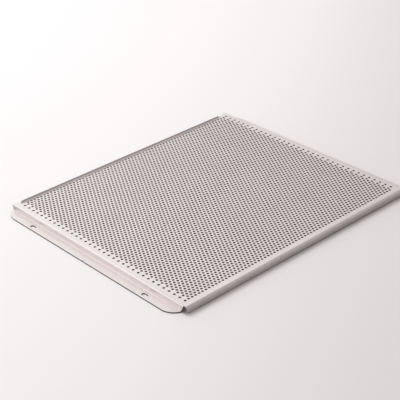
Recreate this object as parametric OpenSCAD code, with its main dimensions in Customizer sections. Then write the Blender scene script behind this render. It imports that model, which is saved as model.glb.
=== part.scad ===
// Perforated oven tray folded from one aluminium sheet: a raised perforated deck, a flange
// turned down along the front, a low upstand along the rear, and at each end a drop that
// steps down to a flat lip, on which the tray stands or is hooked up by two slots.
// X runs along the tray, Y from the front to the rear, Z up from the surface it stands on.

/* [Tray] */
// Length of the deck, over the outer faces of the two end drops
deck_l = 360; // [300:5:480]
// Width of the tray, from the front flange to the rear corner tabs
tray_w = 320; // [260:5:420]
// Thickness of the sheet
sheet_t = 1.5; // [1:0.1:2]
// Inside radius of every bend
bend_r = 1; // [0.6:0.1:1.4]
// How far the end lips lie below the deck, top to top
drop_h = 8; // [7:0.5:20]

/* [Perforation] */
// Diameter of a hole
hole_d = 3; // [2:0.1:3.6]
// Distance between neighbouring holes, in a row and across the rows
pitch = 5; // [4.5:0.1:8]
// Least plain margin beyond the last hole centres at the two ends
end_margin = 8.5; // [8:0.5:30]
// Least plain margin beyond the last hole centres at the front and rear
side_margin = 10.5; // [10.5:0.5:30]

/* [End lips] */
// How far a lip sticks out beyond its drop
lip_w = 12.5; // [12:0.5:30]
// Radius of a lip's two outer corners
lip_corner_r = 20; // [3:0.5:22]
// From the tray's front to the outermost point of a lip's front corner circle
lip_front_gap = 6; // [5:0.5:20]
// From the tray's rear to the outermost point of a lip's rear corner circle
lip_rear_gap = 0; // [0:0.5:15]
// From the tray's front to the top front corner of a drop
drop_front_gap = 4.6; // [4:0.2:10]

/* [Lip slots] */
// Distance between the middles of a lip's two slots
slot_spacing = 208; // [100:1:230]
// Overall length of a slot, along the lip
slot_l = 9; // [6:0.5:20]
// Width of a slot
slot_w = 4.5; // [3:0.1:6]
// From a lip's outer edge to the middle of its slots
slot_inset = 5.4; // [4:0.1:6]
// Diameter of the half-round nick that marks the middle of a lip's outer edge
nick_d = 2.4; // [1:0.2:4]

/* [Front flange] */
// Height of the front flange, from the deck's top to its lower edge
flange_h = 8; // [7.5:0.5:20]
// Radius of the flange's two lower corners
flange_corner_r = 4; // [1:0.5:4.5]
// How far the flange's ends stop short of the end drops' faces
flange_end_gap = 1; // [0.5:0.1:2]

/* [Rear upstand] */
// Height of the upstand above the deck's top
upstand_h = 2; // [2:0.5:20]
// From the rear edge of the corner tabs to the upstand's outer face
upstand_setback = 4.6; // [2:0.2:5]
// Length of the flat corner tab left of the upstand
tab_left = 8; // [5:0.5:30]
// Length of the flat corner tab right of the upstand
tab_right = 15; // [5:0.5:30]
// Width of the relief cut between a tab and the upstand
relief_w = 1; // [0.5:0.5:3]
// How far the upstand's ends lean in, from foot to top
upstand_lean = 3; // [1:0.5:10]

/* [Hidden] */
band_count = 7;
fine = 64;
over = 1;
outer_r = bend_r + sheet_t;
deck_top = drop_h + sheet_t;
end_x = deck_l/2;
lip_x = end_x + lip_w;
rear_y = tray_w/2;
front_y = -rear_y;
bend_end_x = end_x - outer_r;
upstand_y = rear_y - upstand_setback;
upstand_bend_y = upstand_y - outer_r;
flange_bend_y = front_y + outer_r;
corner_x = end_x - flange_end_gap;
drop_front_y = front_y + drop_front_gap;
lip_front_y = front_y + lip_front_gap;
lip_rear_y = rear_y - lip_rear_gap;
lip_mid_y = (lip_front_y + lip_rear_y)/2;

// A corner wider than the lip runs on into the bend, where it has risen this far.
corner_past_bend = max(0, lip_corner_r - lip_w + bend_r);
corner_rise = lip_corner_r - sqrt(pow(lip_corner_r, 2) - pow(corner_past_bend, 2));
fold_front_y = lip_front_y + corner_rise;
fold_rear_y = lip_rear_y - corner_rise;

// 60 degree staggered field: odd rows start one and a half pitches further along.
row_shift = 1.5*pitch;
row_gap = pitch*sin(60);
rows = floor((tray_w - 2*side_margin)/row_gap) + 1;
row_holes = floor((deck_l - 2*end_margin - row_shift)/pitch) + 1;
field_l = (row_holes - 1)*pitch + row_shift;
field_w = (rows - 1)*row_gap;

function first_row(k) = floor(rows*(k - 1)/band_count);
function last_row(k) = first_row(k + 1) - 1;
function row_y(j) = j*row_gap - field_w/2;
function hole_x(i, j) = i*pitch + (j % 2)*row_shift - field_l/2;
function band_front(k) = k == 1 ? flange_bend_y : row_y(first_row(k)) - row_gap/2;
function band_rear(k) = k == band_count ? rear_y : band_front(k + 1);

// Quarter of a bent sheet's section, in the first quadrant about the bend's axis.
module bend_section() {
  intersection() {
    difference() {
      circle(r = outer_r, $fn = fine);
      circle(r = bend_r, $fn = fine);
    }
    square(outer_r + over);
  }
}

// Draws a section of Y and Z upright and runs it along X.
module along_x(from, to) {
  translate([from, 0, 0]) rotate([90, 0, 90]) linear_extrude(height = to - from) children();
}

// Draws a section of X and Z upright and runs it along Y.
module along_y(from, to) {
  translate([0, to, 0]) rotate([90, 0, 0]) linear_extrude(height = to - from) children();
}

// What fills a square corner outside a round one of the given radius.
module corner_waste(radius) {
  difference() {
    square(radius + over);
    circle(r = radius, $fn = fine);
  }
}

// Rounded slot, long in Y.
module slot() {
  straight = slot_l - slot_w;
  square([slot_w, straight], center = true);
  for (side = [-1, 1]) translate([0, side*straight/2]) circle(d = slot_w, $fn = fine);
}

// Plan of the flat deck between its bends, with the corner tabs at the rear.
module deck_plan() {
  polygon([
    [-corner_x, flange_bend_y],
    [corner_x, flange_bend_y],
    [corner_x, drop_front_y],
    [bend_end_x, drop_front_y],
    [bend_end_x, rear_y],
    [end_x - tab_right, upstand_y],
    [end_x - tab_right, upstand_bend_y],
    [-end_x + tab_left, upstand_bend_y],
    [-end_x + tab_left, upstand_y],
    [-bend_end_x, rear_y],
    [-bend_end_x, drop_front_y],
    [-corner_x, drop_front_y]
  ]);
}

// One band of the perforated deck, cut from it between two rows of holes.
module deck_band(k) {
  color("gainsboro")
  translate([0, 0, deck_top - sheet_t])
  linear_extrude(height = sheet_t)
  difference() {
    intersection() {
      deck_plan();
      translate([-end_x, band_front(k)]) square([deck_l, band_rear(k) - band_front(k)]);
    }
    for (j = [first_row(k):last_row(k)], i = [0:row_holes - 1])
      translate([hole_x(i, j), row_y(j)]) circle(d = hole_d, $fn = fine);
  }
}

// Flange along the front, turned down, with round lower corners clear of the table.
module front_flange() {
  lower_z = deck_top - flange_h;
  color("silver")
  difference() {
    along_x(-corner_x, corner_x) {
      translate([flange_bend_y, deck_top - outer_r]) mirror([1, 0]) bend_section();
      translate([front_y, lower_z]) square([sheet_t, flange_h - outer_r]);
    }
    for (side = [0, 1]) mirror([side, 0, 0])
      along_y(front_y - over, front_y + sheet_t + over)
      translate([corner_x - flange_corner_r, lower_z + flange_corner_r])
      mirror([0, 1]) corner_waste(flange_corner_r);
  }
}

// Low upstand along the rear, between the corner tabs, with ends that lean in.
module rear_upstand() {
  foot_left = -end_x + tab_left + relief_w;
  foot_right = end_x - tab_right - relief_w;
  foot_z = deck_top - sheet_t;
  top_z = deck_top + upstand_h;
  color("silver")
  intersection() {
    along_x(foot_left, foot_right) {
      translate([upstand_bend_y, deck_top + bend_r]) mirror([0, 1]) bend_section();
      translate([upstand_y - sheet_t, deck_top + bend_r]) square([sheet_t, upstand_h - bend_r]);
    }
    along_y(upstand_bend_y - over, upstand_y + over)
    polygon([
      [foot_left, foot_z - over],
      [foot_right, foot_z - over],
      [foot_right, deck_top],
      [foot_right - upstand_lean, top_z],
      [foot_right - upstand_lean, top_z + over],
      [foot_left + upstand_lean, top_z + over],
      [foot_left + upstand_lean, top_z],
      [foot_left, deck_top]
    ]);
  }
}

// Drop at the right end: over the deck's edge, straight down and out towards the lip.
module drop() {
  color("lightgray")
  intersection() {
    along_y(front_y, rear_y) {
      translate([bend_end_x, deck_top - outer_r]) bend_section();
      translate([end_x - sheet_t, sheet_t + bend_r]) square([sheet_t, drop_h - outer_r - bend_r]);
      translate([end_x + bend_r, sheet_t + bend_r]) rotate(180) bend_section();
    }
    along_x(bend_end_x - over, lip_x)
    polygon([
      [fold_front_y, -over],
      [fold_rear_y, -over],
      [fold_rear_y, sheet_t],
      [rear_y, deck_top - outer_r],
      [rear_y, deck_top + over],
      [drop_front_y, deck_top + over],
      [drop_front_y, deck_top - outer_r],
      [fold_front_y, sheet_t]
    ]);
  }
}

// Lip at the right end, flat on the table, with round corners, two slots and the nick.
module lip() {
  color("whitesmoke")
  linear_extrude(height = sheet_t)
  difference() {
    translate([end_x + bend_r, lip_front_y])
    square([lip_w - bend_r, lip_rear_y - lip_front_y]);
    translate([lip_x - lip_corner_r, lip_rear_y - lip_corner_r]) corner_waste(lip_corner_r);
    translate([lip_x - lip_corner_r, lip_front_y + lip_corner_r])
    mirror([0, 1]) corner_waste(lip_corner_r);
    for (side = [-1, 1])
      translate([lip_x - slot_inset, lip_mid_y + side*slot_spacing/2]) slot();
    translate([lip_x, lip_mid_y]) circle(d = nick_d, $fn = fine);
  }
}

module right_drop() {
  drop();
}

module left_drop() {
  mirror([1, 0, 0]) drop();
}

module right_lip() {
  lip();
}

module left_lip() {
  mirror([1, 0, 0]) lip();
}

for (k = [1:band_count]) deck_band(k);
front_flange();
rear_upstand();
left_drop();
right_drop();
left_lip();
right_lip();
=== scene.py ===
# %% [markdown]
# # A perforated oven tray, folded from one aluminium sheet
#
# The tray is a flat deck punched with 4,760 small holes. Its four edges are folded: a flange
# turned down along the front, a low upstand along the rear, and at each end a drop that steps
# down to a flat, slotted lip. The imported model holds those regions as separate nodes. Here
# every one of them is made again as folded sheet, with rounded hole edges and deburred cuts,
# and gets the finish of satin rolled aluminium.

# %% Load the frame
import math

import bmesh
import bpy
from mathutils import Matrix, Quaternion, Vector


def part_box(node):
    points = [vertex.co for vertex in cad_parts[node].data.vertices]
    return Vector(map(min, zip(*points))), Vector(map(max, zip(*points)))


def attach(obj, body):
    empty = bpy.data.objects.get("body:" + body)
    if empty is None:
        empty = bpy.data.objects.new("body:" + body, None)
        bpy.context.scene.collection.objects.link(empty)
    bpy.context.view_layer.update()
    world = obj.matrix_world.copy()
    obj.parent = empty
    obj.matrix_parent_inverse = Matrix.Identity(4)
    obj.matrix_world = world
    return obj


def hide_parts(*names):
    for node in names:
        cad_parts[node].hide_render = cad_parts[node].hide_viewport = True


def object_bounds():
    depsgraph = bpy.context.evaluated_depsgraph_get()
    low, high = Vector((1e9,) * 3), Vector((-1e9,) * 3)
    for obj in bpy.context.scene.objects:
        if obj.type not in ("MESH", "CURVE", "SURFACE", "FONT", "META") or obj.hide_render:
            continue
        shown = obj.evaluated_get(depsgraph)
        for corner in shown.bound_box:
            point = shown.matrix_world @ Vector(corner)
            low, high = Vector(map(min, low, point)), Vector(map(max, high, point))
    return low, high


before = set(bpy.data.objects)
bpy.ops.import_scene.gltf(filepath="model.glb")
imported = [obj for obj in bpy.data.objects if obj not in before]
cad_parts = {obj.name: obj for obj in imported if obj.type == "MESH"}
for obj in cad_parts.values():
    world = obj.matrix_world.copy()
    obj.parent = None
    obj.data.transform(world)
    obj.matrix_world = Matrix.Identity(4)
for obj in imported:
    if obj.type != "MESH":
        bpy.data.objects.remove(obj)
cad_low, cad_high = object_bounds()
print("nodes:", sorted(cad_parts))

# %% [markdown]
# All sizes are in metres. Where a fold starts or a lip ends is read from the frame, so that
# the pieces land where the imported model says. Only what a box can't tell is written here:
# the perforation's own numbers, the bend radius and the small sizes of the finish.

# %% Sizes
BANDS = 7
MIDDLE_BAND = (BANDS + 1) // 2
deck_low, deck_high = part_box(f"deck_band_{MIDDLE_BAND}")
DECK_TOP = deck_high.z
SHEET = deck_high.z - deck_low.z
FOLD_X = deck_high.x
BAND_Y = deck_high.y - deck_low.y
FRONT_Y = cad_low.y
REAR_Y = cad_high.y
BEND_IN = 0.001
BEND_OUT = BEND_IN + SHEET

PITCH = 0.005
HOLE_R = 0.0015
ROWS = 10
HOLES = 68
ROW_GAP = PITCH * math.sin(math.radians(60))
ROW_SHIFT = 1.5 * PITCH
FIELD_X = ((HOLES - 1) * PITCH + ROW_SHIFT) / 2
print(f"sheet {SHEET * 1000:.2f} mm, deck top at {DECK_TOP * 1000:.2f} mm, {BANDS * ROWS * HOLES} holes")

# %% [markdown]
# ## Camera
#
# A tray is usually shown from one corner and from above, with a long lens, so that its far
# edges stay nearly as long as the near ones. The camera looks at the middle of the deck from
# its front left corner, and is tilted a little about its own axis.

# %% Camera
AZIMUTH = math.radians(-41.06)
ELEVATION = math.radians(29.30)
ROLL = math.radians(-2.57)
DISTANCE = 1.448
AIM = Vector((-0.0137, 0.0002, DECK_TOP))


def make_camera():
    """Long lens, looking down on the deck from beyond its front left corner."""
    data = bpy.data.cameras.new("camera")
    data.lens = 106.9
    data.sensor_width = 36
    data.clip_start = 0.01
    data.clip_end = 50
    back = Vector((
        math.sin(AZIMUTH) * math.cos(ELEVATION),
        -math.cos(AZIMUTH) * math.cos(ELEVATION),
        math.sin(ELEVATION),
    ))
    camera = bpy.data.objects.new("camera", data)
    camera.location = AIM + back * DISTANCE
    camera.rotation_mode = "QUATERNION"
    camera.rotation_quaternion = (-back).to_track_quat("-Z", "Y") @ Quaternion((0, 0, 1), ROLL)
    bpy.context.scene.collection.objects.link(camera)
    bpy.context.scene.camera = camera
    return camera


camera = make_camera()
print("camera at", [round(c, 3) for c in camera.location])

# %% [markdown]
# ## Light and floor
#
# Satin metal shows its surroundings, so the room matters more than the lamp. The room is dim,
# with one broad bright wall behind the tray, which the deck mirrors as an even sheen, and a
# faint glow at the front right, which the front fold and the upstand catch. One large soft
# lamp above and behind the tray throws the short shadow along the front flange. It is hidden
# from reflections, because the folds would show it as a hot line.
#
# The floor is plain and diffuse, so that it catches the shadow. Its tone is a gradient of
# painted light: brightest at the rear left and darker towards the front, as the light falls
# off across the floor. The floor is greyer for the light that it throws back than for the
# camera, which keeps the front flange dark, because that flange mirrors the floor.

# %% World
def link(tree, source, target):
    """Joins an output socket to an input socket."""
    tree.links.new(source, target)


def ramp_node(tree, stops):
    """Colour ramp with the given (place, grey or colour) stops."""
    node = tree.nodes.new("ShaderNodeValToRGB")
    elements = node.color_ramp.elements
    while len(elements) < len(stops):
        elements.new(0.5)
    for element, (place, tone) in zip(elements, stops):
        element.position = place
        colour = (tone,) * 3 if isinstance(tone, (int, float)) else tone
        element.color = (*colour, 1)
    return node


# A Mix node has sockets of one name for each type, so those for colours are picked by number.
MIX_FACTOR, MIX_BELOW, MIX_ABOVE, MIX_RESULT = 0, 6, 7, 2


def combine_node(tree, kind, below, above):
    """Two colours combined in full by a blend type, such as ADD."""
    mix = tree.nodes.new("ShaderNodeMix")
    mix.data_type = "RGBA"
    mix.blend_type = kind
    mix.inputs[MIX_FACTOR].default_value = 1.0
    link(tree, below, mix.inputs[MIX_BELOW])
    link(tree, above, mix.inputs[MIX_ABOVE])
    return mix.outputs[MIX_RESULT]


def lobe(tree, place, direction, stops):
    """Tone that depends on the angle to a direction; stops run from 0 opposite to 1 along it."""
    toward = tree.nodes.new("ShaderNodeVectorMath")
    toward.operation = "DOT_PRODUCT"
    toward.inputs[1].default_value = Vector(direction).normalized()
    scale = tree.nodes.new("ShaderNodeMapRange")
    scale.inputs["From Min"].default_value = -1
    scale.inputs["From Max"].default_value = 1
    tone = ramp_node(tree, stops)
    link(tree, place, toward.inputs[0])
    link(tree, toward.outputs["Value"], scale.inputs["Value"])
    link(tree, scale.outputs["Result"], tone.inputs["Fac"])
    return tone.outputs["Color"]


def make_world():
    """Dim soft room: a bright wall behind the tray, and a faint glow at the front right."""
    world = bpy.data.worlds.new("room")
    world.use_nodes = True
    tree = world.node_tree
    tree.nodes.clear()
    place = tree.nodes.new("ShaderNodeTexCoord").outputs["Generated"]
    behind = lobe(tree, place, (-0.30, 0.90, 0.32), [
        (0.00, (0.34, 0.325, 0.325)),
        (0.62, (0.50, 0.485, 0.485)),
        (0.725, (0.78, 0.765, 0.765)),
        (0.80, (1.04, 1.03, 1.025)),
        (0.85, (1.19, 1.18, 1.175)),
    ])
    front = lobe(tree, place, (0.57, -0.66, 0.49), [
        (0.80, (0.0, 0.0, 0.0)),
        (0.95, (0.12, 0.11, 0.11)),
    ])
    total = combine_node(tree, "ADD", behind, front)
    background = tree.nodes.new("ShaderNodeBackground")
    white = tree.nodes.new("ShaderNodeBackground")
    white.inputs["Color"].default_value = (1, 1, 1, 1)
    seen = tree.nodes.new("ShaderNodeLightPath")
    mix = tree.nodes.new("ShaderNodeMixShader")
    output = tree.nodes.new("ShaderNodeOutputWorld")
    link(tree, total, background.inputs["Color"])
    link(tree, seen.outputs["Is Camera Ray"], mix.inputs["Fac"])
    link(tree, background.outputs["Background"], mix.inputs[1])
    link(tree, white.outputs["Background"], mix.inputs[2])
    link(tree, mix.outputs["Shader"], output.inputs["Surface"])
    bpy.context.scene.world = world
    return world


make_world()
bpy.context.scene.view_settings.view_transform = "Standard"
print("world ready")

# %% Lamp
def make_lamp(name, location, target, size, energy):
    """Square soft box aimed at a point, and hidden from reflections."""
    data = bpy.data.lights.new(name, "AREA")
    data.shape = "SQUARE"
    data.size = size
    data.energy = energy
    lamp = bpy.data.objects.new(name, data)
    lamp.location = location
    aim = Vector(target) - Vector(location)
    lamp.rotation_euler = aim.to_track_quat("-Z", "Y").to_euler()
    lamp.visible_glossy = False
    bpy.context.scene.collection.objects.link(lamp)
    return lamp


make_lamp("soft_box", (-0.26, 1.47, 2.13), (0, 0, 0), 1.3, 28)
print("lamp ready")

# %% Floor
FLOOR_SIZE = 8.0
FLOOR_BOUNCE = 0.6
# Direction and reach of the floor's painted light gradient.
REAR_LEFT = (-0.54, 0.84, 0)
LIGHT_GRADIENT_FROM, LIGHT_GRADIENT_TO = -0.35, 0.25


def make_floor():
    """Large pale floor that the lips stand on."""
    bm = bmesh.new()
    bmesh.ops.create_grid(bm, x_segments=1, y_segments=1, size=FLOOR_SIZE / 2)
    mesh = bpy.data.meshes.new("floor")
    bm.to_mesh(mesh)
    bm.free()
    floor = bpy.data.objects.new("floor", mesh)
    bpy.context.scene.collection.objects.link(floor)
    material = bpy.data.materials.new("floor_paper")
    material.use_nodes = True
    tree = material.node_tree
    shader = tree.nodes["Principled BSDF"]
    shader.inputs["Roughness"].default_value = 0.9
    shader.inputs["Specular IOR Level"].default_value = 0.1
    place = tree.nodes.new("ShaderNodeTexCoord")
    toward = tree.nodes.new("ShaderNodeVectorMath")
    toward.operation = "DOT_PRODUCT"
    toward.inputs[1].default_value = REAR_LEFT
    reach = tree.nodes.new("ShaderNodeMapRange")
    reach.inputs["From Min"].default_value = LIGHT_GRADIENT_FROM
    reach.inputs["From Max"].default_value = LIGHT_GRADIENT_TO
    # Painted light: the floor's tone is brighter towards the rear left and darker towards the front,
    # where less light falls.
    tone = ramp_node(tree, [
        (0.0, (0.70, 0.675, 0.675)),
        (0.22, (0.745, 0.715, 0.715)),
        (0.40, (0.80, 0.77, 0.77)),
        (0.58, (0.86, 0.83, 0.83)),
        (0.78, (0.885, 0.86, 0.86)),
        (0.95, (0.90, 0.88, 0.88)),
    ])
    link(tree, place.outputs["Object"], toward.inputs[0])
    link(tree, toward.outputs["Value"], reach.inputs["Value"])
    link(tree, reach.outputs["Result"], tone.inputs["Fac"])
    seen = tree.nodes.new("ShaderNodeLightPath")
    share = tree.nodes.new("ShaderNodeMapRange")
    share.inputs["To Min"].default_value = FLOOR_BOUNCE
    link(tree, seen.outputs["Is Camera Ray"], share.inputs["Value"])
    dim = tree.nodes.new("ShaderNodeVectorMath")
    dim.operation = "SCALE"
    link(tree, tone.outputs["Color"], dim.inputs[0])
    link(tree, share.outputs["Result"], dim.inputs["Scale"])
    link(tree, dim.outputs["Vector"], shader.inputs["Base Color"])
    mesh.materials.append(material)
    return floor


make_floor()
print("floor ready")

# %% [markdown]
# ## Satin rolled aluminium
#
# The sheet comes off a rolling mill, so its grain runs in one direction: fine streaks a
# hundredth of a millimetre deep that spread a reflection sideways. On top lie slow ripples
# left by punching and folding, cloudy patches from washing, and a few hairline scratches
# from racks. Each is a noise of its own scale on Object coordinates, so they run on from one
# piece to the next without a seam, and the folds keep the deck's grain direction.

# %% Sheet metal
RIPPLE_DEPTH = 0.0002
GRAIN_DEPTH = 0.00001
STREAK_DEPTH = 0.00002


def metal_material(name):
    """New metal with its node tree, its shader and the Object coordinates."""
    material = bpy.data.materials.new(name)
    material.use_nodes = True
    tree = material.node_tree
    shader = tree.nodes["Principled BSDF"]
    shader.inputs["Metallic"].default_value = 1.0
    place = tree.nodes.new("ShaderNodeTexCoord").outputs["Object"]
    return material, tree, shader, place


def noise_node(tree, source, stretch, scale=1.0, detail=3.0, turn=0.0):
    """Noise on Object coordinates, stretched by a mapping and turned about Z."""
    mapping = tree.nodes.new("ShaderNodeMapping")
    mapping.inputs["Rotation"].default_value = (0, 0, turn)
    mapping.inputs["Scale"].default_value = stretch
    noise = tree.nodes.new("ShaderNodeTexNoise")
    noise.inputs["Scale"].default_value = scale
    noise.inputs["Detail"].default_value = detail
    link(tree, source, mapping.inputs["Vector"])
    link(tree, mapping.outputs["Vector"], noise.inputs["Vector"])
    return noise.outputs["Fac"]


def bump_node(tree, height, distance, below=None):
    """Bump of the given depth in metres, laid over another bump."""
    bump = tree.nodes.new("ShaderNodeBump")
    bump.inputs["Strength"].default_value = 1.0
    bump.inputs["Distance"].default_value = distance
    link(tree, height, bump.inputs["Height"])
    if below is not None:
        link(tree, below, bump.inputs["Normal"])
    return bump.outputs["Normal"]


def vary_roughness(tree, source, shader, roughness, spread):
    """Lets the roughness follow a pattern, to a spread on either side of its middle."""
    sheen = tree.nodes.new("ShaderNodeMapRange")
    sheen.inputs["To Min"].default_value = roughness - spread
    sheen.inputs["To Max"].default_value = roughness + spread
    link(tree, source, sheen.inputs["Value"])
    link(tree, sheen.outputs["Result"], shader.inputs["Roughness"])


def rolled_aluminium(name, light, dark, roughness, spread):
    """Satin sheet with grain along X, clouds, hairline scratches and slow ripples."""
    material, tree, shader, place = metal_material(name)

    clouds = noise_node(tree, place, (1, 1, 1), scale=22, detail=4)
    grain = noise_node(tree, place, (60, 3500, 3500), detail=2)
    scratches = noise_node(tree, place, (9, 2200, 2200), detail=1, turn=math.radians(24))
    hairline = ramp_node(tree, [(0.0, 0.0), (0.70, 0.0), (0.74, 1.0)])
    link(tree, scratches, hairline.inputs["Fac"])

    cloud_tone = ramp_node(tree, [(0.3, dark), (0.7, light)])
    link(tree, clouds, cloud_tone.inputs["Fac"])
    streaks = ramp_node(tree, [(0.3, 0.93), (0.7, 1.0)])
    link(tree, grain, streaks.inputs["Fac"])
    tone = combine_node(tree, "MULTIPLY", cloud_tone.outputs["Color"], streaks.outputs["Color"])
    link(tree, tone, shader.inputs["Base Color"])
    vary_roughness(tree, grain, shader, roughness, spread)

    ripples = noise_node(tree, place, (1, 1, 1), scale=9, detail=1)
    relief = bump_node(tree, ripples, RIPPLE_DEPTH)
    relief = bump_node(tree, grain, GRAIN_DEPTH, relief)
    relief = bump_node(tree, hairline.outputs["Color"], GRAIN_DEPTH, relief)
    link(tree, relief, shader.inputs["Normal"])
    return material


SATIN = rolled_aluminium("satin_aluminium", (0.87, 0.815, 0.80), (0.83, 0.77, 0.755), 0.36, 0.06)
print("made", SATIN.name)

# %% [markdown]
# Where the sheet was sheared or punched, the metal is torn rather than rolled: a little
# duller and darker than the face, with short streaks through the thickness that the punch
# left. It is a second material on the faces of the cuts, the hole walls and their rims among
# them. Most of its darkness is painted shade, which stands in for the shade inside the holes
# and under the cut edges.

# %% Sheared edge, darkened with painted shade
def sheared_and_shaded_aluminium(name, light, dark, roughness, spread):
    """Cut face with fine streaks through the sheet's thickness, darkened with painted shade."""
    material, tree, shader, place = metal_material(name)
    streaks = noise_node(tree, place, (3000, 3000, 250), detail=2)
    tone = ramp_node(tree, [(0.3, dark), (0.7, light)])
    link(tree, streaks, tone.inputs["Fac"])
    link(tree, tone.outputs["Color"], shader.inputs["Base Color"])
    vary_roughness(tree, streaks, shader, roughness, spread)
    link(tree, bump_node(tree, streaks, STREAK_DEPTH), shader.inputs["Normal"])
    return material


# Painted shade: cut faces, hole walls and hole rims are coloured far darker than torn aluminium,
# standing in for the shade in the holes and under the cut edges.
SHEARED_AND_SHADED = sheared_and_shaded_aluminium("sheared_edge_painted_shade", (0.32, 0.27, 0.26), (0.19, 0.155, 0.145), 0.5, 0.1)
print("made", SHEARED_AND_SHADED.name)

# %% [markdown]
# ## Shared helpers
#
# A finished piece sits at the origin with its place in its mesh, rides on the one body, and
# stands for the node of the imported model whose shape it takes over.
#
# The limits say how close two vertices are when they count as one, which edges are creases or
# sharp, and what a part of a face's normal says of it: at SQUARE the face lies square to that
# axis, under FLAT along Z it isn't a face of the flat sheet, and above TILTED it is a cut end.

# %% Helpers
MERGE = 0.000002
CREASE = math.radians(35)
SHARP = math.radians(60)
SQUARE = 0.9999
FLAT = 0.95
TILTED = 0.1
SATIN_INDEX, SHEARED_AND_SHADED_INDEX = 0, 1


def verts_of(geom):
    """The vertices in an operator's result."""
    return [g for g in geom if isinstance(g, bmesh.types.BMVert)]


def edges_of(geom):
    """The edges in an operator's result."""
    return [g for g in geom if isinstance(g, bmesh.types.BMEdge)]


def move(bm, verts, x=0.0, y=0.0, z=0.0):
    """Moves vertices by a step."""
    bmesh.ops.translate(bm, vec=(x, y, z), verts=verts)


def finish_piece(bm, name, node, is_cut):
    """Turns a bmesh into a piece: cuts get the sheared finish with its painted shade, and round
    stretches are smooth.
    """
    bmesh.ops.recalc_face_normals(bm, faces=bm.faces)
    for face in bm.faces:
        face.material_index = SHEARED_AND_SHADED_INDEX if is_cut(face) else SATIN_INDEX
        face.smooth = max(abs(part) for part in face.normal) < SQUARE
    for edge in bm.edges:
        edge.smooth = edge.calc_face_angle(math.pi) < CREASE
    open_edges = sum(not edge.is_manifold for edge in bm.edges)
    print(f"{name}: {len(bm.faces)} faces, {open_edges} open edges")
    mesh = bpy.data.meshes.new(name)
    bm.to_mesh(mesh)
    bm.free()
    mesh.materials.append(SATIN)
    mesh.materials.append(SHEARED_AND_SHADED)
    piece = bpy.data.objects.new(name, mesh)
    bpy.context.scene.collection.objects.link(piece)
    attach(piece, "root")
    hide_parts(node)
    return piece


# %% [markdown]
# ## Perforated deck
#
# A punched hole isn't a plain cylinder: the punch draws the sheet's face down a little round
# its rim, and tumbling rounds the burr off below. Cutting 4,760 holes with booleans is slow
# and leaves a poor mesh. The pattern is a brick wall, though: one brick of sheet, a pitch
# wide and a row deep, holds one hole, and every second course is shifted by half a brick. So
# one brick is made with care, laid in rows, and its doubles are merged.

# %% One brick round a hole
SIDES = 16
ROLL_OVER = 0.00012
CELL = PITCH / (SIDES // 4)


def hole_brick(bm):
    """Top face of one brick, with the rim of its hole drawn down."""
    half = SIDES // 4
    grid = bmesh.ops.create_grid(bm, x_segments=half, y_segments=half, size=0.5)["verts"]
    bmesh.ops.scale(bm, vec=(PITCH, ROW_GAP, 1), verts=grid)
    bmesh.ops.delete(bm, geom=[v for v in grid if not v.is_boundary], context="VERTS")
    outline = bm.edges[:]
    bmesh.ops.create_circle(bm, cap_ends=False, radius=HOLE_R + ROLL_OVER, segments=SIDES)
    rim = [edge for edge in bm.edges if edge not in outline]
    bmesh.ops.bridge_loops(bm, edges=outline + rim)
    drawn = verts_of(bmesh.ops.extrude_edge_only(bm, edges=rim)["geom"])
    shrink = HOLE_R / (HOLE_R + ROLL_OVER)
    bmesh.ops.scale(bm, vec=(shrink, shrink, 1), verts=drawn)
    move(bm, drawn, z=-ROLL_OVER)


trial = bmesh.new()
hole_brick(trial)
print("one brick:", len(trial.verts), "vertices,", len(trial.faces), "faces")
trial.free()

# %% [markdown]
# Two courses make the repeat: the second starts one and a half bricks further along. The
# plain sheet at the ends of a course is laid in the same small squares, so that every vertex
# on a joint between courses has its partner. Five repeats make a band of ten rows.

# %% Courses of bricks
def repeat(bm, geom, count, step):
    """Copies geometry until there are count of it, each a step further on."""
    for k in range(1, count):
        copied = bmesh.ops.duplicate(bm, geom=geom)["geom"]
        move(bm, verts_of(copied), *(step * k))


def plain_patch(bm, from_x, to_x, y):
    """Plain sheet between two places of a course, in small squares."""
    columns = round((to_x - from_x) / CELL)
    made = bmesh.ops.create_grid(bm, x_segments=columns, y_segments=SIDES // 4, size=0.5)["verts"]
    bmesh.ops.scale(bm, vec=(to_x - from_x, ROW_GAP, 1), verts=made)
    move(bm, made, (from_x + to_x) / 2, y)


def course(bm, first_x, y):
    """One row of holes from fold to fold, with its first hole at first_x."""
    row = bmesh.new()
    hole_brick(row)
    repeat(row, row.verts[:] + row.edges[:] + row.faces[:], HOLES, Vector((PITCH, 0, 0)))
    move(row, row.verts, first_x, y)
    mesh = bpy.data.meshes.new("row")
    row.to_mesh(mesh)
    row.free()
    bm.from_mesh(mesh)
    bpy.data.meshes.remove(mesh)
    start = first_x - PITCH / 2
    end = start + HOLES * PITCH
    plain_patch(bm, -FOLD_X, start, y)
    plain_patch(bm, end, FOLD_X, y)


def band_skin(first_y):
    """Top face of ten rows of holes, round the sheet's middle plane at z = 0."""
    bm = bmesh.new()
    course(bm, -FIELD_X, first_y)
    course(bm, -FIELD_X + ROW_SHIFT, first_y + ROW_GAP)
    repeat(bm, bm.verts[:] + bm.edges[:] + bm.faces[:], ROWS // 2, Vector((0, 2 * ROW_GAP, 0)))
    bmesh.ops.remove_doubles(bm, verts=bm.verts, dist=MERGE)
    move(bm, bm.verts, z=SHEET / 2)
    return bm


# %% [markdown]
# The first band also has the plain margin up to the front fold, and two ears that close the
# corner behind the flange. The last has the margin up to the upstand and the two flat corner
# tabs beside it, cut off at a slant. Each is drawn out of the band's own open edge, so it
# stays one sheet with it.

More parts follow.
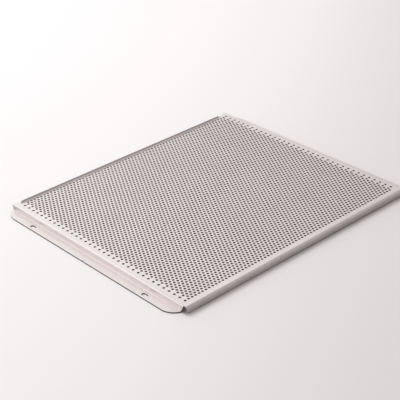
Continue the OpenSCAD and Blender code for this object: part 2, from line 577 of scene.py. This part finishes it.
# %% Front and rear margins
DROP_FRONT_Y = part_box("left_drop")[0].y
EAR_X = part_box("front_flange")[1].x
UPSTAND_FOLD_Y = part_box("rear_upstand")[0].y
UPSTAND_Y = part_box("rear_upstand")[1].y
RELIEF = 0.001
TAB_LEFT_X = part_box("rear_upstand")[0].x - RELIEF
TAB_RIGHT_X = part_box("rear_upstand")[1].x + RELIEF


def on_line(edge, axis, place):
    """True for an open edge that lies along a line of the plan."""
    return edge.is_boundary and all(abs(v.co[axis] - place) < MERGE for v in edge.verts)


def draw_out(bm, edges, x=0.0, y=0.0):
    """Extrudes open edges in the sheet's plane and returns the new vertices."""
    made = verts_of(bmesh.ops.extrude_edge_only(bm, edges=edges)["geom"])
    move(bm, made, x, y)
    return made


def front_margin(bm, edge_y):
    """Plain margin from the first course to the front fold, with an ear at each end."""
    fold_y = FRONT_Y + BEND_OUT
    draw_out(bm, [e for e in bm.edges if on_line(e, 1, edge_y)], y=DROP_FRONT_Y - edge_y)
    draw_out(bm, [e for e in bm.edges if on_line(e, 1, DROP_FRONT_Y)], y=fold_y - DROP_FRONT_Y)
    for side in (-1, 1):
        ends = [e for e in bm.edges if on_line(e, 0, side * FOLD_X)]
        ends = [e for e in ends if max(v.co.y for v in e.verts) < DROP_FRONT_Y + MERGE]
        draw_out(bm, ends, x=side * (EAR_X - FOLD_X))


def corner_tab(bm, side, inner_x):
    """Flat tab beside the upstand, square to the relief cut and slanted at the rear."""
    foot = [e for e in bm.edges if on_line(e, 1, UPSTAND_FOLD_Y)]
    foot = [e for e in foot if all(side * (v.co.x - inner_x) > -MERGE for v in e.verts)]
    draw_out(bm, foot, y=UPSTAND_Y - UPSTAND_FOLD_Y)
    top = [e for e in bm.edges if on_line(e, 1, UPSTAND_Y)]
    rise = (REAR_Y - UPSTAND_Y) / abs(side * FOLD_X - inner_x)
    for vert in draw_out(bm, [e for e in top if all(side * v.co.x > 0 for v in e.verts)]):
        vert.co.y += rise * abs(vert.co.x - inner_x)


def rear_margin(bm, edge_y):
    """Plain margin from the last course to the upstand, and the two corner tabs."""
    draw_out(bm, [e for e in bm.edges if on_line(e, 1, edge_y)], y=UPSTAND_FOLD_Y - edge_y)
    strip = [f for f in bm.faces if min(v.co.y for v in f.verts) > edge_y - MERGE]
    around = list(dict.fromkeys(g for f in strip for g in (*f.verts, *f.edges)))
    bmesh.ops.bisect_plane(bm, geom=strip + around, dist=MERGE, plane_co=(TAB_LEFT_X, 0, 0),
                           plane_no=(1, 0, 0))
    corner_tab(bm, -1, TAB_LEFT_X)
    corner_tab(bm, 1, TAB_RIGHT_X)
    bmesh.ops.remove_doubles(bm, verts=bm.verts, dist=MERGE)


# %% [markdown]
# A skin becomes sheet in two strokes: its open edges, the outline and every hole's rim, are
# extruded to the mirrored height, and the skin itself is copied to the underside. The two
# meet when their doubles are merged, and the band is a closed solid.

# %% From skin to sheet
def thicken(bm):
    """Closes a skin at z = half a sheet into a sheet round z = 0."""
    skin = bm.verts[:] + bm.edges[:] + bm.faces[:]
    rims = [e for e in bm.edges if e.is_boundary]
    walls = verts_of(bmesh.ops.extrude_edge_only(bm, edges=rims)["geom"])
    bmesh.ops.scale(bm, vec=(1, 1, -1), verts=walls)
    under = verts_of(bmesh.ops.duplicate(bm, geom=skin)["geom"])
    bmesh.ops.scale(bm, vec=(1, 1, -1), verts=under)
    bmesh.ops.remove_doubles(bm, verts=bm.verts, dist=MERGE)


def cut_across(face):
    """Walls of holes and slots, their rims, and the sheared outline of a flat sheet: the faces that take
    the painted shade.
    """
    return abs(face.normal.z) < FLAT


def make_band(k):
    """Band k of the deck, counted from the front."""
    low_y = deck_low.y + (k - MIDDLE_BAND) * BAND_Y
    bm = band_skin(low_y + ROW_GAP / 2)
    if k == 1:
        front_margin(bm, low_y)
    if k == BANDS:
        rear_margin(bm, low_y + BAND_Y)
    thicken(bm)
    move(bm, bm.verts, z=DECK_TOP - SHEET / 2)
    return finish_piece(bm, f"perforated_deck_{k}", f"deck_band_{k}", cut_across)


deck = [make_band(k) for k in range(1, BANDS + 1)]
print("the deck is", len(deck), "bands")

# %% [markdown]
# ## Folds
#
# A press brake folds the sheet round a small radius, so every fold is a strip of the same
# section: flat, round, flat. Such a strip is drawn as the sheet's cut section, a thin
# rectangle as long as the fold, which is spun about the fold's axis and extruded where it
# runs straight. Its open ends are filled, and the free edges are deburred with a small bevel.

# %% Fold helpers
FOLD_STEPS = 14
CORNER_STEPS = 10
DEBURR = 0.00015
RIGHT_ANGLE = math.pi / 2


def section(bm, low, high):
    """The sheet's cut section in a plane across X or Y, as a closed loop of edges."""
    low, high = Vector(low), Vector(high)
    size = high - low
    if size.x < MERGE:
        turn = Matrix.Rotation(RIGHT_ANGLE, 4, "Y") @ Matrix.Diagonal((size.z, size.y, 1, 1))
    else:
        turn = Matrix.Rotation(RIGHT_ANGLE, 4, "X") @ Matrix.Diagonal((size.x, size.z, 1, 1))
    place = Matrix.Translation((low + high) / 2) @ turn
    bmesh.ops.create_grid(bm, x_segments=1, y_segments=1, size=0.5, matrix=place)
    bmesh.ops.delete(bm, geom=bm.faces[:], context="FACES_ONLY")
    return bm.edges[:]


def fold(bm, edges, centre, axis, angle):
    """Spins a section about a fold's axis and returns the last section."""
    loop = edges + list(dict.fromkeys(v for e in edges for v in e.verts))
    made = bmesh.ops.spin(bm, geom=loop, cent=centre, axis=axis, angle=angle, steps=FOLD_STEPS,
                          use_duplicate=False)
    return edges_of(made["geom_last"])


def run_on(bm, edges, z):
    """Extrudes a section straight up or down and returns the last section."""
    made = bmesh.ops.extrude_edge_only(bm, edges=edges)["geom"]
    new = verts_of(made)
    move(bm, new, z=z)
    return [e for e in edges_of(made) if all(v in new for v in e.verts)]


def deburr(bm, is_free):
    """Bevels the sharp edges that a file would reach."""
    bmesh.ops.recalc_face_normals(bm, faces=bm.faces)
    edges = [e for e in bm.edges if e.calc_face_angle(0) > SHARP and is_free(e)]
    bmesh.ops.bevel(bm, geom=edges, offset=DEBURR, offset_type="OFFSET", segments=2, profile=0.5,
                    affect="EDGES", material=-1)


# %% [markdown]
# ## Front flange
#
# The front edge is folded down at a right angle and stops just above the table. Its two lower
# corners are cut round, so that they don't catch on a cloth or a hand. They are bevelled
# before the deburring, while each is still a single edge.

# %% Front flange
FLANGE_CORNER_R = 0.004


def make_front_flange():
    """Strip along the front: a quarter bend, then straight down."""
    low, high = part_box("front_flange")
    bend_z = DECK_TOP - BEND_OUT
    bm = bmesh.new()
    start = section(bm, (low.x, high.y, DECK_TOP - SHEET), (high.x, high.y, DECK_TOP))
    bent = fold(bm, start, (0, high.y, bend_z), (1, 0, 0), RIGHT_ANGLE)
    run_on(bm, bent, low.z - bend_z)
    bmesh.ops.holes_fill(bm, edges=bm.edges[:], sides=4)
    corners = [e for e in bm.edges if all(abs(v.co.z - low.z) < MERGE for v in e.verts)
               and abs(e.verts[0].co.x - e.verts[1].co.x) < MERGE]
    bmesh.ops.bevel(bm, geom=corners, offset=FLANGE_CORNER_R, offset_type="OFFSET",
                    segments=CORNER_STEPS, profile=0.5, affect="EDGES", material=-1)
    deburr(bm, lambda e: any(abs(v.co.y - high.y) > MERGE for v in e.verts))

    def is_cut(face):
        lower = face.calc_center_median().z < bend_z and face.normal.z < -TILTED
        return abs(face.normal.x) > TILTED or lower

    return finish_piece(bm, "folded_front_flange", "front_flange", is_cut)


make_front_flange()

# %% [markdown]
# ## Rear upstand
#
# The rear edge is folded up instead, into a low stop that keeps loaves from sliding off. Its
# ends lean in from foot to top, so they are moved inwards in step with their height.

# %% Rear upstand
LEAN = 0.003


def make_rear_upstand():
    """Strip along the rear: a quarter bend upwards, then a short straight."""
    low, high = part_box("rear_upstand")
    bend_z = DECK_TOP + BEND_IN
    bm = bmesh.new()
    start = section(bm, (low.x, low.y, low.z), (high.x, low.y, DECK_TOP))
    bent = fold(bm, start, (0, low.y, bend_z), (1, 0, 0), RIGHT_ANGLE)
    run_on(bm, bent, high.z - bend_z)
    bmesh.ops.holes_fill(bm, edges=bm.edges[:], sides=4)
    middle = (low.x + high.x) / 2
    for vert in bm.verts:
        height = max(0, vert.co.z - DECK_TOP) / (high.z - DECK_TOP)
        vert.co.x -= math.copysign(LEAN * height, vert.co.x - middle)
    deburr(bm, lambda e: any(abs(v.co.y - low.y) > MERGE for v in e.verts))

    def is_cut(face):
        return abs(face.normal.x) > TILTED or face.calc_center_median().z > high.z - 2 * DEBURR

    return finish_piece(bm, "folded_rear_upstand", "rear_upstand", is_cut)


make_rear_upstand()

# %% [markdown]
# ## End drops
#
# At each end the sheet is folded twice, down off the deck and out again towards the lip, so
# that the deck stands a step above the surface. The blank is narrower at the lip than at the
# deck, and the drop's ends slant from one width to the other. The left drop is the right one
# mirrored, which turns it inside out until its normals are worked out again.

# %% End drops
LIP_LOW, LIP_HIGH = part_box("right_lip")


def make_drop(side, name, node):
    """Two opposite bends with a short straight between them."""
    low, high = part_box("right_drop")
    upper_z = DECK_TOP - BEND_OUT
    lower_z = SHEET + BEND_IN
    bm = bmesh.new()
    start = section(bm, (low.x, low.y, DECK_TOP - SHEET), (low.x, high.y, DECK_TOP))
    bent = fold(bm, start, (low.x, 0, upper_z), (0, 1, 0), RIGHT_ANGLE)
    straight = run_on(bm, bent, lower_z - upper_z)
    fold(bm, straight, (high.x, 0, lower_z), (0, 1, 0), -RIGHT_ANGLE)
    bmesh.ops.holes_fill(bm, edges=bm.edges[:], sides=4)
    for vert in bm.verts:
        depth = min(1, max(0, (upper_z - vert.co.z) / (upper_z - SHEET)))
        is_rear = vert.co.y > 0
        vert.co.y += depth * ((LIP_HIGH.y - high.y) if is_rear else (LIP_LOW.y - low.y))
    seams = (low.x, high.x)
    deburr(bm, lambda e: not any(all(abs(v.co.x - s) < MERGE for v in e.verts) for s in seams))
    bmesh.ops.scale(bm, vec=(side, 1, 1), verts=bm.verts)
    return finish_piece(bm, name, node, lambda face: abs(face.normal.y) > TILTED)


make_drop(-1, "folded_left_drop", "left_drop")
make_drop(1, "folded_right_drop", "right_drop")

# %% [markdown]
# ## End lips
#
# The lip is the tray's foot and its handle: a flat strip with round outer corners, two slots
# that hook it to a rack, and a half-round nick that marks its middle. Its corner arcs are
# wider than the lip, so they meet the fold at a slant. The plan is drawn like a pen line,
# straight stretches as edges and round ones as a spun vertex. The slots are circles pulled
# apart at their middle, and a fill between all the loops makes the plan.

# %% End lips
LIP_CORNER_R = 0.020
SLOT_W = 0.0045
SLOT_L = 0.009
SLOT_SPACING = 0.208
SLOT_INSET = 0.0054
NICK_R = 0.0012
LIP_STEPS = 24
SLOT_SIDES = 32
LIP_MID_Y = (LIP_LOW.y + LIP_HIGH.y) / 2


def line(bm, vert, x, y):
    """Draws an edge from a vertex to a new one in the plan."""
    new = bm.verts.new((x, y, 0))
    bm.edges.new((vert, new))
    return new


def arc(bm, vert, x, y, angle, steps):
    """Spins a vertex about a centre in the plan and returns where it ends."""
    made = bmesh.ops.spin(bm, geom=[vert], cent=(x, y, 0), axis=(0, 0, 1), angle=angle,
                          steps=steps, use_duplicate=False)
    return verts_of(made["geom_last"])[0]


def lip_outline(bm):
    """Closed outline of the right lip: a corner arc from each end of the fold, and the nick."""
    in_x, out_x = LIP_LOW.x, LIP_HIGH.x
    corner_x = out_x - LIP_CORNER_R
    sweep = math.acos((in_x - corner_x) / LIP_CORNER_R)
    rise = LIP_CORNER_R * math.sin(sweep)
    first = bm.verts.new((in_x, LIP_LOW.y, 0))
    pen = arc(bm, first, corner_x, LIP_LOW.y + rise, sweep, LIP_STEPS)
    pen = line(bm, pen, out_x, LIP_MID_Y - NICK_R)
    pen = arc(bm, pen, out_x, LIP_MID_Y, -2 * RIGHT_ANGLE, CORNER_STEPS)
    pen = line(bm, pen, out_x, LIP_HIGH.y - rise)
    last = arc(bm, pen, corner_x, LIP_HIGH.y - rise, sweep, LIP_STEPS)
    bm.edges.new((last, first))


def slot_outline(bm, y):
    """Outline of a slot, long in Y."""
    centre = Vector((LIP_HIGH.x - SLOT_INSET, y, 0))
    turn = Matrix.Rotation(math.pi / SLOT_SIDES, 4, "Z")
    made = bmesh.ops.create_circle(bm, cap_ends=False, radius=SLOT_W / 2, segments=SLOT_SIDES,
                                   matrix=Matrix.Translation(centre) @ turn)["verts"]
    half_straight = (SLOT_L - SLOT_W) / 2
    for vert in made:
        vert.co.y += math.copysign(half_straight, vert.co.y - y)


def make_lip(side, name, node):
    """Flat strip with two slots and a nick."""
    bm = bmesh.new()
    lip_outline(bm)
    for end in (-1, 1):
        slot_outline(bm, LIP_MID_Y + end * SLOT_SPACING / 2)
    bmesh.ops.triangle_fill(bm, use_beauty=True, use_dissolve=False, edges=bm.edges[:])
    raised = bmesh.ops.extrude_face_region(bm, geom=bm.faces[:])["geom"]
    move(bm, verts_of(raised), z=SHEET)
    deburr(bm, lambda e: any(abs(v.co.x - LIP_LOW.x) > MERGE for v in e.verts))
    bmesh.ops.scale(bm, vec=(side, 1, 1), verts=bm.verts)
    return finish_piece(bm, name, node, cut_across)


make_lip(-1, "slotted_left_lip", "left_lip")
make_lip(1, "slotted_right_lip", "right_lip")
